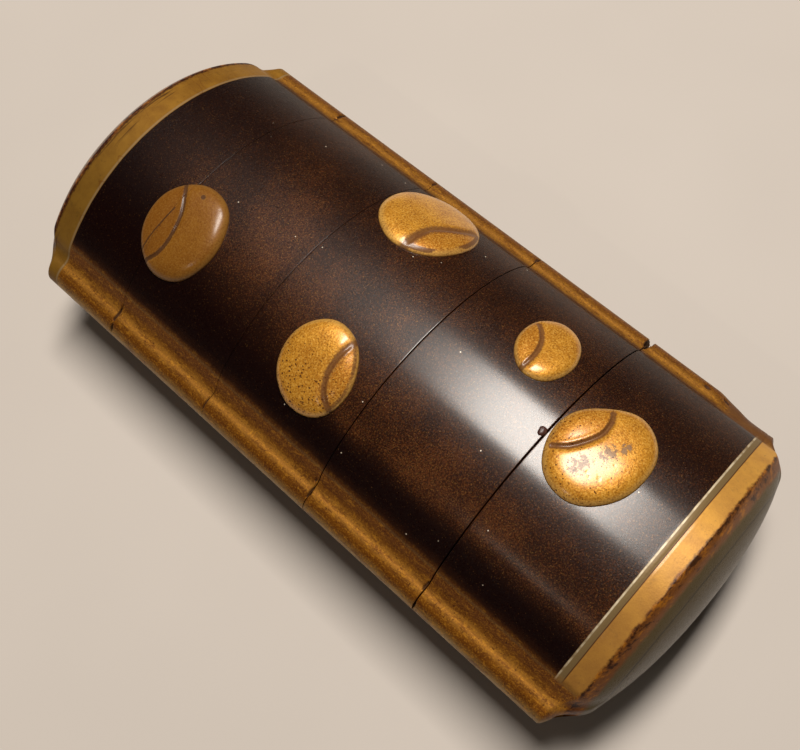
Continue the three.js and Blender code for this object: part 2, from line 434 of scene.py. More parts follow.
@dataclass(frozen=True)
class Chip:
    """A scoop worn or broken out of a ridge, in millimetres.

    Its place is the ridge's side, the distance from the bottom rim and the turn round the roll,
    0 degrees at the outermost line and 90 at the front.
    """

    side: int
    along: float
    roll: float
    half_length: float
    half_width: float
    depth: float


RIDGE_CHIPS = (
    Chip(-1, 71.95, 80.0, 0.20, 1.7, 0.42),
    Chip(-1, 71.8, 35.0, 0.26, 0.8, 0.3),
    Chip(-1, 54.85, 60.0, 0.14, 1.3, 0.25),
    Chip(-1, 37.3, 75.0, 0.22, 1.0, 0.35),
    Chip(-1, 37.65, 108.0, 0.2, 0.45, 0.2),
    Chip(-1, 20.0, 90.0, 0.2, 0.6, 0.25),
    Chip(-1, 19.8, 30.0, 0.15, 1.0, 0.3),
    Chip(1, 71.9, 55.0, 0.35, 1.3, 0.4),
    Chip(1, 54.9, 50.0, 0.25, 1.0, 0.25),
    Chip(1, 37.3, 50.0, 0.25, 1.0, 0.25),
    Chip(1, 19.75, 40.0, 0.45, 2.2, 1.0),
    Chip(1, 11.0, 60.0, 0.5, 0.45, 0.3),
    Chip(1, 8.3, 54.0, 0.5, 0.5, 0.35),
)


@dataclass
class Wear:
    """How much of the outside is worn or broken away; depths and lengths in millimetres."""

    shape: CaseShape
    chips: tuple[Chip, ...] = RIDGE_CHIPS
    rubbed_depth: float = 0.78
    rubbed_roll: float = 35.0
    rubbed_spread: float = 62.0
    rubbed_from: float = 10.3
    rubbed_fully: float = 4.7
    on_ridge: tuple[float, float] = (1.45, 1.15)

    def _polar(self, points: np.ndarray) -> tuple[np.ndarray, np.ndarray]:
        """Where points lie round the nearer ridge's roll.

        Args:
            points: Places on the outside.

        Returns:
            The turn in degrees, and 1 on the ridge or 0 off it.
        """
        out = np.abs(points[..., 0]) - self.shape.section.ridge_at
        up = points[..., 2] - self.shape.middle
        near = smooth(np.hypot(out, up) / RIDGE_RADIUS, *self.on_ridge)
        return np.degrees(np.arctan2(up, out)), near

    def scoops(self, points: np.ndarray) -> np.ndarray:
        """How deep each point lies in the chips.

        A chip's depth falls from its middle as 1 minus the square of the distance in its own
        half lengths, and that distance is made uneven by noise.

        Args:
            points: Places on the outside.

        Returns:
            The depth at each point.
        """
        roll, on_ridge = self._polar(points)
        uneven = ripple(points, 0.7 * MM, 11) * 0.12 + ripple(points, 1.9 * MM, 12) * 0.1
        along = points[..., 1] - self.shape.bottom_rim
        depth = np.zeros(roll.shape)
        for chip in self.chips:
            off = (along - chip.along * MM) / (chip.half_length * MM)
            arc = np.radians(roll - chip.roll) * RIDGE_RADIUS
            far = np.hypot(off, arc / (chip.half_width * MM)) + uneven
            near = np.clip(1.0 - far**2, 0.0, 1.0) * (points[..., 0] * chip.side > 0)
            depth = np.maximum(depth, chip.depth * MM * smooth(near, 0.0, 0.8))
        return depth * on_ridge

    def rubbed(self, points: np.ndarray) -> np.ndarray:
        """How much is rubbed off the right ridge near the bottom, in a long smooth flat.

        The depth is a bell over the turn round the roll times a smooth rise towards the bottom
        rim, with slow waves in it.

        Args:
            points: Places on the outside.

        Returns:
            The depth at each point.
        """
        roll, on_ridge = self._polar(points)
        along = (points[..., 1] - self.shape.bottom_rim) / MM + 0.5 * ripple(points, 5.0 * MM, 21)
        depth = self.rubbed_depth + 0.05 * ripple(points, 2.6 * MM, 22)
        share = smooth(along, self.rubbed_from, self.rubbed_fully) * (points[..., 0] > 0)
        return depth * MM * bell(roll - self.rubbed_roll, self.rubbed_spread) * share * on_ridge


# ---- the five case parts


@dataclass
class Row:
    """A closed row of a shell: an outline, its place along the case, and its finish."""

    loop: np.ndarray
    along: float
    surface: Surface = Surface.INSIDE


@dataclass
class CasePart:
    """One part of the case as a closed shell."""

    name: str
    shape: CaseShape
    wear: Wear
    below: Joint | None
    above: Joint | None
    fine_step: float = 0.09 * MM
    coarse_step: float = 0.3 * MM
    rim_reach: float = 3.9 * MM
    joint_reach: float = 1.6 * MM
    edge_rows: int = 5
    end_rows: int = 60
    line_height: float = 0.008
    seam_depth: float = 0.05
    channel_sides: int = 40
    recess_clear: float = 0.3 * MM
    mouth_height: float = 0.25 * MM
    mouth_flare: float = 1.008
    lip_height: float = 0.25 * MM
    lip_crown: float = 0.2 * MM
    oval_narrowing: float = 0.93
    oval_by: float = 0.3
    dome_powers: tuple[float, float] = (2.2, 0.75)
    end_reach: float = 0.985
    end_crowding: float = 2.4

    def _spread(self, low: float, high: float) -> np.ndarray:
        """Places along the outside, fine near both ends and coarser between them.

        The step grows from the fine to the coarse one away from a joint, and more slowly away
        from a rim, where the bands are.

        Args:
            low: The first place.
            high: The last place.

        Returns:
            The places in order.
        """
        below, above = (self.joint_reach if end else self.rim_reach for end in (self.below, self.above))
        places = [low]
        while places[-1] < high:
            near = min((places[-1] - low) / below, (high - places[-1]) / above)
            share = float(smooth(near, 0.15, 1.0))
            places.append(places[-1] + self.fine_step + (self.coarse_step - self.fine_step) * share)
        run = np.array(places)
        return low + (run - low) * (high - low) / (run[-1] - low)

    def _edge(self, joint: Joint, sign: int) -> list[Row]:
        """The rounded outer edge of a joint face: a quarter of a circle.

        Args:
            joint: The joint that the face belongs to.
            sign: 1 where the part lies above the joint, and -1 where it lies below.

        Returns:
            Rows from the face to the outside.
        """
        rows = []
        for turn in np.linspace(0.0, math.pi / 2, self.edge_rows):
            inset = joint.rounding * (1.0 - math.sin(turn))
            along = joint.face(sign) + sign * joint.rounding * (1.0 - math.cos(turn))
            loop = self.shape.around - self.shape.normals() * inset
            rows.append(Row(loop, along, Surface.OUTSIDE))
        return rows

    def _flat(self, loop: np.ndarray, along: float) -> list[Row]:
        """Rows of a flat floor, shrinking towards the middle."""
        return [Row(loop * scale, along) for scale in FLOOR_SCALES]

    def _recess(self, joint: Joint, ceiling: float) -> list[Row]:
        """Down the wall of the recess for the riser below, and out to the joint's edge.

        Args:
            joint: The joint below the part.
            ceiling: Where the recess ends.

        Returns:
            Rows from the wall's upper end to the outside.
        """
        face, loop = joint.face(1), self.shape.recess
        rim, top, mouth = loop * self.mouth_flare, ceiling - self.recess_clear, face + self.mouth_height
        rows = [Row(loop, along) for along in np.linspace(top, mouth, 6)]
        rows += [Row(rim, face), Row((rim + self.shape.around) / 2, face)]
        return rows + self._edge(joint, 1)

    def _riser(self, joint: Joint, floor: float) -> list[Row]:
        """From the joint's edge in to the riser, over its lip and down into the compartment.

        Args:
            joint: The joint above the part.
            floor: Where the compartment's wall ends.

        Returns:
            Rows from the outside to the compartment.
        """
        face, top, inside = joint.face(-1), joint.along + RISER_HEIGHT, self.shape.hollow
        riser, shoulder = self.shape.riser, top - self.lip_height
        rows = self._edge(joint, -1)[::-1] + [Row((riser + self.shape.around) / 2, face)]
        rows += [Row(riser, along) for along in np.linspace(face, shoulder, 6)]
        for share in (0.15, 0.5, 0.85):
            lip = top - self.lip_crown * abs(share - 0.5) ** 2
            rows.append(Row(riser * (1 - share) + inside * share, lip))
        return rows + [Row(inside, along) for along in np.linspace(shoulder, floor, 7)]

    def _domed(
        self, loop: np.ndarray, rim: float, bulge: float, scales: Sequence[float],
        surface: Surface = Surface.INSIDE,
    ) -> list[Row]:
        """Rows of a dome that closes towards its middle.

        Its outline turns from the part's own to an oval over the first share of the way in. Its
        bulge is (1 - scale^a)^b of the whole, by the two dome powers a and b, which starts
        straight along the case.

        Args:
            loop: The outline at the rim.
            rim: Where the rim lies.
            bulge: How far the middle lies beyond it; less than 0 towards the bottom.
            scales: The outline's scale at each row, from 1 down.
            surface: The rows' finish.

        Returns:
            The rows, from the rim to the middle.
        """
        half = loop.max(axis=0) * (self.oval_narrowing, 1.0)
        turn = np.arctan2(*(loop / half).T[::-1])
        oval = np.stack([np.cos(turn), np.sin(turn)], axis=1) * half
        inner, outer = self.dome_powers
        rows = []
        for scale in scales:
            share = float(smooth(1.0 - scale, 0.0, self.oval_by))
            outline = (loop * (1 - share) + oval * share) * scale
            rows.append(Row(outline, rim + bulge * (1.0 - scale**inner) ** outer, surface))
        return rows

    def _end(self, rim: float, bulge: float) -> list[Row]:
        """The outer end, in many rows near its rounded edge and fewer towards its middle.

        Args:
            rim: Where the rim lies.
            bulge: How far the middle lies beyond it; less than 0 towards the bottom.

        Returns:
            The rows, from the rim to the middle.
        """
        way = np.linspace(0.0, 1.0, self.end_rows)[1:] ** self.end_crowding
        scales = 1.0 - self.end_reach * way
        return self._domed(self.shape.around, rim, bulge, scales, Surface.OUTSIDE)

    def rows(self) -> list[Row]:
        """Lists all rows of the shell.

        Returns:
            The rows, from one pole to the other.
        """
        shape, below, above = self.shape, self.below, self.above
        low = below.face(1) + below.rounding + self.fine_step if below else shape.bottom_rim
        high = above.face(-1) - above.rounding - self.fine_step if above else shape.lid_rim
        outside = [Row(shape.around, at, Surface.OUTSIDE) for at in self._spread(low, high)]
        if below is None:
            floor = low + INNER_SETBACK
            dome = self._domed(shape.hollow, floor, -INNER_DOME, DOME_SCALES)
            return self._end(low, -END_DOME)[::-1] + outside + self._riser(above, floor) + dome
        ceiling = below.along + RISER_HEIGHT + SLIDING_GAP
        recess = self._recess(below, ceiling)
        if above is None:
            dome = self._domed(shape.recess, high - INNER_SETBACK, INNER_DOME, DOME_SCALES)
            return dome[::-1] + recess + outside + self._end(high, END_DOME)
        floor = ceiling + FLOOR
        riser = self._riser(above, floor) + self._flat(shape.hollow, floor)
        return self._flat(shape.recess, ceiling)[::-1] + recess + outside + riser

    def _place(self, rows: list[Row], outside: np.ndarray) -> np.ndarray:
        """The rows' points in the frame, with the ridges' ends drawn back at a domed end.

        A point near the end moves along the case by the setback times a smooth rise over the
        ridge, fading out away from the rim.

        Args:
            rows: The shell's rows.
            outside: Whether each row is on the outside.

        Returns:
            The points, by row and turn.
        """
        shape = self.shape
        points = np.zeros((len(rows), shape.count, 3))
        points[..., ::2] = np.array([row.loop for row in rows]) + (0.0, shape.middle)
        points[..., 1] = np.array([[row.along] for row in rows])
        if self.below and self.above:
            return points
        rim, sign = (shape.lid_rim, 1.0) if self.below else (shape.bottom_rim, -1.0)
        ridge_from = shape.section.ridge_at - RIDGE_RADIUS
        over = smooth(np.abs(points[..., 0]), ridge_from, ridge_from + 1.5 * RIDGE_RADIUS)
        fade = smooth((rim - points[..., 1]) * sign, RIDGE_FADE, 0.0)
        points[..., 1] -= sign * RIDGE_SETBACK * over * fade * outside
        return points

    def _relief(self, points: np.ndarray) -> np.ndarray:
        """How far the silver line stands out of the bottom's outside: half a sine across it.

        Args:
            points: Places on the outside.

        Returns:
            The height at each point, less than 0 in the seam under the line.
        """
        along = (points[..., 1] - self.shape.bottom_rim) / MM
        across = np.clip((along - SILVER_FROM) / (SILVER_TO - SILVER_FROM), 0.0, 1.0)
        line = self.line_height * np.sin(math.pi * across) ** 0.6
        return (line - self.seam_depth * bell(along - SEAM, 0.07)) * MM

    def build(self) -> bpy.types.Object:
        """Makes the shell, with both cord channels bored through it.

        Returns:
            The part's object, with attributes for how deeply it is broken and rubbed.
        """
        rows, count = self.rows(), self.shape.count
        outside = np.array([[row.surface is Surface.OUTSIDE] for row in rows])
        points = self._place(rows, outside)
        broken = self.wear.scoops(points) * outside
        rubbed = self.wear.rubbed(points) * outside
        relief = self._relief(points) * outside if self.below is None else 0.0
        points[..., ::2] -= self.shape.normals() * (broken + rubbed - relief)[..., None]
        flat = np.concatenate([points.reshape(-1, 3), points[[0, -1]].mean(axis=1)])
        kinds = [row.surface.value for row in rows]
        kinds = [max(pair) for pair in zip(kinds, kinds[1:])] + [kinds[0], kinds[-1]]
        fields = {"broken": broken / MM, "rubbed": rubbed / MM}
        faces = row_faces(len(rows), count)
        return self._bored(
            closed_mesh(self.name + "_shell", flat, faces, np.repeat(kinds, count), fields)
        )

    def _bored(self, piece: bpy.types.Object) -> bpy.types.Object:
        """Cuts both cord channels out of a shell.

        Args:
            piece: The shell.

        Returns:
            The same object, with the cut mesh.
        """
        low, high = CAD_BOX
        for side in (-1, 1):
            tool = bmesh.new()
            bmesh.ops.create_cone(
                tool, cap_ends=True, segments=self.channel_sides, depth=(high.y - low.y) * 1.2,
                radius1=CHANNEL_RADIUS, radius2=CHANNEL_RADIUS,
            )
            shift = Matrix.Translation((side * self.shape.section.ridge_at, 0.0, self.shape.middle))
            tool.transform(shift @ Matrix.Rotation(math.pi / 2, 4, "X"))
            mesh = bpy.data.meshes.new("channel")
            tool.to_mesh(mesh)
            tool.free()
            inside = np.full(len(mesh.polygons), Surface.INSIDE.value, np.int32)
            mesh.polygons.foreach_set("material_index", inside)
            cutter = linked("channel", mesh)
            cut = piece.modifiers.new("channel", "BOOLEAN")
            cut.operation, cut.solver, cut.object = "DIFFERENCE", "EXACT", cutter
            graph = bpy.context.evaluated_depsgraph_get()
            graph.update()
            made = bpy.data.meshes.new_from_object(piece.evaluated_get(graph))
            made.polygons.foreach_set("use_smooth", np.ones(len(made.polygons), dtype=bool))
            piece.modifiers.clear()
            piece.data = made
            bpy.data.objects.remove(cutter)
        return piece


# ---- the raised beans


@dataclass(frozen=True)
class Bean:
    """A raised gold bean, in millimetres and degrees, placed from the middle and the bottom rim.

    The groove's points and the worn spots' places are in its own half widths, and so are the
    starts and ends of its dark marks. A spot ends in its size, and a mark in its half width. The
    flat side is its direction and its distance from the middle.
    """

    name: str
    nodes: tuple[str, ...]
    across: float
    along: float
    width: float
    length: float
    height: float
    tilt: float
    groove: tuple[tuple[float, float], ...]
    groove_width: float
    groove_depth: float
    lens_drop: float
    band: float = 0.0
    pitted: float = 0.3
    # How much darker the bean is: partly its own tone, partly painted shade towards the lid.
    aged: float = 0.0
    flat_side: tuple[float, float] | None = None
    worn_spots: tuple[tuple[float, float, float], ...] = ()
    marks: tuple[tuple[float, float, float, float, float], ...] = ()


BEANS = (
    Bean(
        "bean_high", ("lid", "upper_case"), -8.5, 69.3, 12.9, 10.9, 1.0, 4.0,
        ((-0.93, 0.46), (-0.8, 0.36), (-0.6, 0.18), (-0.29, 0.09), (0.19, 0.16), (0.53, 0.38),
         (0.74, 0.58)),
        0.24, 0.16, 0.12, aged=0.8,
        marks=((-0.86, 0.66, 0.27, 0.42, 0.12), (0.72, 0.0, 0.73, 0.02, 0.34)),
    ),
    Bean(
        "bean_side", ("middle_case",), 14.1, 48.5, 14.2, 12.1, 1.0, -8.0,
        ((0.5, -0.7), (0.24, -0.6), (0.0, -0.46), (-0.29, -0.31), (-0.6, -0.3), (-0.9, -0.33)),
        0.34, 0.16, 0.06, band=0.85,
    ),
    Bean(
        "bean_left", ("middle_case",), -10.6, 44.7, 11.7, 9.9, 1.0, 12.0,
        ((0.78, -0.6), (0.4, -0.44), (0.0, -0.38), (-0.35, -0.49), (-0.6, -0.72)),
        0.36, 0.16, 0.12, band=0.55, pitted=0.95,
    ),
    Bean(
        "bean_small", ("lower_case",), 8.7, 26.3, 9.7, 7.3, 0.9, 10.0,
        ((-0.9, 0.34), (-0.62, 0.24), (-0.29, 0.22), (0.0, 0.31), (0.24, 0.48), (0.42, 0.66)),
        0.3, 0.17, 0.10,
    ),
    Bean(
        "bean_low", ("bottom_case",), 2.2, 14.1, 13.4, 10.9, 1.1, -10.0,
        ((-0.56, 0.68), (-0.36, 0.45), (-0.08, 0.3), (0.19, 0.24), (0.43, 0.32), (0.6, 0.46)),
        0.3, 0.24, 0.08, band=0.3, pitted=0.7, flat_side=(46.0, 0.93),
        worn_spots=((-0.42, 0.06, 0.28), (0.02, -0.16, 0.26), (0.3, -0.3, 0.16)),
    ),
)


@dataclass
class BeanRelief:
    """Builds a bean as a closed polar grid on the front face."""

    bean: Bean
    shape: CaseShape
    rings: int = 76
    spokes: int = 232
    root: float = 0.6 * MM
    path_steps: int = 14
    dent_depth: float = 0.012 * MM
    edge_crowding: float = 1.35
    pebble_powers: tuple[float, float] = (6, 0.65)
    steep: float = 0.85
    gentle: float = 1.6
    lens_reach: float = 0.9

    @property
    def half(self) -> np.ndarray:
        """Half the bean's width and length, in millimetres."""
        return np.array([self.bean.width, self.bean.length]) / 2

    def _outline(self, angle: np.ndarray) -> np.ndarray:
        """The edge's distance from the middle, in half widths: an oval, a little uneven.

        Where the bean has a flat side, the edge is drawn in smoothly to a straight line at
        that side's distance, as the soft minimum of the two.

        Args:
            angle: Turns round the bean's middle.

        Returns:
            The distance at each turn.
        """
        bean, blend = self.bean, 14
        wave = 0.010 * np.sin(2 * angle + bean.tilt) + 0.008 * np.sin(3 * angle + bean.across)
        edge = 1.0 + wave + 0.004 * np.sin(7 * angle + bean.along)
        if bean.flat_side:
            turn, distance = bean.flat_side
            line = distance / np.maximum(np.cos(angle - math.radians(turn)), 0.2)
            edge = -np.log(np.exp(-blend * edge) + np.exp(-blend * line)) / blend
        return edge

    def _to_groove(self, uv: np.ndarray) -> tuple[np.ndarray, np.ndarray]:
        """Distance to the groove's smooth path, in millimetres, and the side of it.

        The path is a cubic through the groove's points, by Catmull and Rom's formula. The side
        is the sign of the cross product with the nearest stretch's direction.

        Args:
            uv: Places across and along, in half widths.

        Returns:
            The distance, and 1 on the left of the path and -1 on its right.
        """
        knots = np.array(self.bean.groove)
        ends = np.concatenate([[2 * knots[0] - knots[1]], knots, [2 * knots[-1] - knots[-2]]])
        t = np.linspace(0.0, 1.0, self.path_steps, endpoint=False)[:, None]
        runs = [
            0.5 * (2 * p1 + (p2 - p0) * t + (2 * p0 - 5 * p1 + 4 * p2 - p3) * t**2
                   + (3 * p1 - p0 - 3 * p2 + p3) * t**3)
            for p0, p1, p2, p3 in zip(ends, ends[1:], ends[2:], ends[3:])
        ]
        path = np.concatenate(runs + [knots[-1:]]) * self.half
        gap = (uv * self.half)[..., None, :] - path
        distance = np.hypot(gap[..., 0], gap[..., 1])
        nearest = distance.argmin(axis=-1)
        way = np.gradient(path, axis=0)[nearest]
        off = np.take_along_axis(gap, nearest[..., None, None], axis=-2)[..., 0, :]
        side = np.sign(way[..., 0] * off[..., 1] - way[..., 1] * off[..., 0])
        return distance.min(axis=-1), side

    def _height(self, share: np.ndarray, distance: np.ndarray, side: np.ndarray) -> np.ndarray:
        """The height over the face: a flat pebble, a groove, and a lens beyond it.

        The pebble is (1 - share^a)^b of its height, by the two pebble powers a and b. The groove
        is a bell across its path, steep on the lens's side and gentle on the other.

        Args:
            share: The share of the way from the middle to the edge.
            distance: The distance to the groove, in millimetres.
            side: Which side of the groove each point is on.

        Returns:
            The height in metres.
        """
        bean = self.bean
        inner, outer = self.pebble_powers
        pebble = bean.height * (1.0 - share**inner) ** outer
        slope = np.where(side > 0, self.steep, self.gentle) * bean.groove_width
        groove = bean.groove_depth * bell(distance, slope)
        lens = bean.lens_drop * smooth(side * distance, 0.0, self.lens_reach)
        inward = smooth(share, 1.0, 0.8)
        return (pebble - groove * inward - lens * inward) * MM

    def _on_face(self, uv: np.ndarray, height: np.ndarray | float) -> np.ndarray:
        """Places on the crowned face, raised along its normal.

        Args:
            uv: Places across and along, in half widths.
            height: The height over the face.

        Returns:
            The places in the frame.
        """
        bean, section = self.bean, self.shape.section
        turn = math.radians(bean.tilt)
        x, y = np.moveaxis(uv * self.half * MM, -1, 0)
        across = bean.across * MM + x * math.cos(turn) - y * math.sin(turn)
        along = bean.along * MM + x * math.sin(turn) + y * math.cos(turn)
        angle, radius = across / section.face_radius, section.face_radius + height
        up = section.face_centre + self.shape.middle + radius * np.cos(angle)
        return np.stack([radius * np.sin(angle), self.shape.bottom_rim + along, up], axis=-1)

    def _fields(
        self, uv: np.ndarray, share: np.ndarray, distance: np.ndarray, side: np.ndarray
    ) -> dict[str, np.ndarray]:
        """Says where the bean's groove, lens, edge, worn spots and pits are, by bells and rises.

        Args:
            uv: Places across and along, in half widths.
            share: The share of the way from the middle to the edge.
            distance: The distance to the groove, in millimetres.
            side: Which side of the groove each point is on.

        Returns:
            Numbers for each place, by attribute name.
        """
        bean = self.bean
        worn = np.zeros(share.shape)
        for *spot, size in bean.worn_spots:
            worn = np.maximum(worn, bell(np.linalg.norm(uv - spot, axis=-1), size))
        groove = bell(distance, 1.25 * bean.groove_width)
        for mark in bean.marks:
            start, end = np.array(mark[:2]) * self.half, np.array(mark[2:4]) * self.half
            here, run = uv * self.half - start, end - start
            reached = np.clip(here @ run / (run @ run), 0.0, 1.0)[..., None] * run
            groove = np.maximum(groove, bell(np.linalg.norm(here - reached, axis=-1), mark[4]))
        lens = smooth(side * distance, -0.1, 0.25)
        hem = lens * smooth(share, 0.86, 0.91) * smooth(share, 0.985, 0.95) * smooth(distance, 3.2, 2.4)
        band = bean.band * np.maximum(bell(distance, 2.2 * bean.groove_width), hem)
        return {
            "groove": np.maximum(groove, band),
            "lens": lens,
            "edge": share**6,
            "worn": worn,
            "pitted": bean.pitted * smooth(0.4 * uv[..., 1] - uv[..., 0], -1.2, 0.6),
            "aged": np.full(share.shape, bean.aged),
        }

    def build(self) -> bpy.types.Object:
        """Makes the bean: rings from its middle to its edge, a skirt, and the root's flat end.

        Returns:
            The bean's object, with attributes that say where its groove, edge and wear are.
        """
        spread = 1.0 - (1.0 - np.linspace(0.0, 1.0, self.rings + 1)[1:]) ** self.edge_crowding
        angle = np.linspace(0.0, 2 * math.pi, self.spokes, endpoint=False)
        share, spoke = np.meshgrid(spread, angle, indexing="ij")
        edge = self._outline(spoke)
        uv = np.stack([share * edge * np.cos(spoke), share * edge * np.sin(spoke)], axis=-1)
        distance, side = self._to_groove(uv)
        top = self._on_face(uv, self._height(share, distance, side))
        dents = np.clip(ripple(top, 0.8 * MM, 31) - 1.0, 0.0, 1.0) * self.dent_depth
        top[..., 2] -= dents * smooth(share, 1.0, 0.9)
        centre = np.zeros((1, 2))
        points = np.concatenate([
            top.reshape(-1, 3),
            self._on_face(uv[-1], -self.root),
            self._on_face(centre, self._height(np.zeros(1), *self._to_groove(centre))),
            self._on_face(centre, -self.root),
        ])
        faces = row_faces(self.rings + 1, self.spokes)
        fields = self._fields(uv, share, distance, side)
        return closed_mesh(self.bean.name, points, faces, None, fields)


def halves(piece: bpy.types.Object, joint: Joint, names: tuple[str, str]) -> list[bpy.types.Object]:
    """Splits a piece at a joint into the half above it and the half below it, both closed.

    Args:
        piece: The piece, which is removed.
        joint: The joint to split at.
        names: The names of the upper and the lower half.

    Returns:
        The upper and the lower half.
    """
    made = []
    for name, sign in zip(names, (1, -1)):
        work = bmesh.new()
        work.from_mesh(piece.data)
        bmesh.ops.bisect_plane(
            work, geom=work.verts[:] + work.edges[:] + work.faces[:], clear_outer=True,
            plane_co=(0.0, joint.face(sign), 0.0), plane_no=(0.0, -sign, 0.0),
        )
        bmesh.ops.holes_fill(work, edges=[edge for edge in work.edges if edge.is_boundary], sides=0)
        bmesh.ops.recalc_face_normals(work, faces=work.faces[:])
        mesh = bpy.data.meshes.new(name)
        work.to_mesh(mesh)
        work.free()
        made.append(linked(name, mesh))
    bpy.data.objects.remove(piece)
    return made


@dataclass
class Drip:
    """A small dark drop of lacquer on the middle of the face beside a joint, in millimetres."""

    shape: CaseShape
    along: float = 20.3
    size: tuple[float, float, float] = (0.62, 0.5, 0.35)
    sunk: float = 0.1
    rings: int = 18
    spokes: int = 36

    def build(self) -> bpy.types.Object:
        """Makes the drop: a flattened ball whose radius is made a little uneven by noise.

        Returns:
            The drop's object.
        """
        polar = np.linspace(0.0, math.pi, self.rings + 2)[1:-1]
        angle = np.linspace(0.0, 2 * math.pi, self.spokes, endpoint=False)
        down, turn = np.meshgrid(polar, angle, indexing="ij")
        ball = np.stack([np.sin(down) * np.cos(turn), np.sin(down) * np.sin(turn), np.cos(down)], -1)
        ball = np.concatenate([ball.reshape(-1, 3), [[0, 0, 1.0]], [[0, 0, -1.0]]])
        ball *= 1.0 + 0.07 * ripple(ball * MM, 1.2 * MM, 5)[:, None]
        up = self.shape.middle + self.shape.section.crest - self.sunk * MM
        centre = (0.0, self.shape.bottom_rim + self.along * MM, up)
        faces = row_faces(self.rings, self.spokes)
        return closed_mesh("lacquer_drop", ball * self.size * MM + centre, faces)


# ---- shader maths

Colour = tuple[float, float, float]
Feed = Union["Wire", float, Colour]


class Wire:
    """A socket of a material's nodes, on which arithmetic can be written."""

    def __init__(self, board: "Board", socket: bpy.types.NodeSocket) -> None:
        """Keeps the socket and the board it belongs to."""
        self.board, self.socket = board, socket

    def _with(self, operation: str, first: Feed, second: Feed) -> "Wire":
        """The result of a Math node on two values."""
        return self.board.node("ShaderNodeMath", {0: first, 1: second}, operation=operation)

    def __add__(self, other: Feed) -> "Wire":
        """Sum."""
        return self._with("ADD", self, other)

    def __mul__(self, other: Feed) -> "Wire":
        """Product."""
        return self._with("MULTIPLY", self, other)

    __radd__, __rmul__ = __add__, __mul__

    def __sub__(self, other: Feed) -> "Wire":
        """Difference."""
        return self._with("SUBTRACT", self, other)

    def __rsub__(self, other: Feed) -> "Wire":
        """Difference, the other way round."""
        return self._with("SUBTRACT", other, self)

    def __truediv__(self, other: Feed) -> "Wire":
        """Quotient."""
        return self._with("DIVIDE", self, other)

    def __rtruediv__(self, other: Feed) -> "Wire":
        """Quotient, the other way round."""
        return self._with("DIVIDE", other, self)

    def __abs__(self) -> "Wire":
        """Size without sign."""
        return self._with("ABSOLUTE", self, 0.0)

    def top(self, other: Feed) -> "Wire":
        """The larger of two values."""
        return self._with("MAXIMUM", self, other)

    def rise(self, low: float, high: float) -> "Wire":
        """A smooth rise from 0 at low to 1 at high, or a fall where high is the lower.

        Args:
            low: Where it starts.
            high: Where it ends.

        Returns:
            The risen share.
        """
        if low > high:
            return 1.0 - self.rise(high, low)
        feeds = {"Value": self, "From Min": low, "From Max": high}
        return self.board.node("ShaderNodeMapRange", feeds, interpolation_type="SMOOTHSTEP")

    def line(self, centre: float, half_width: float) -> "Wire":
        """A soft line: 1 at the centre, and 0 from the half width on."""
        return abs(self - centre).rise(half_width, 0.0)


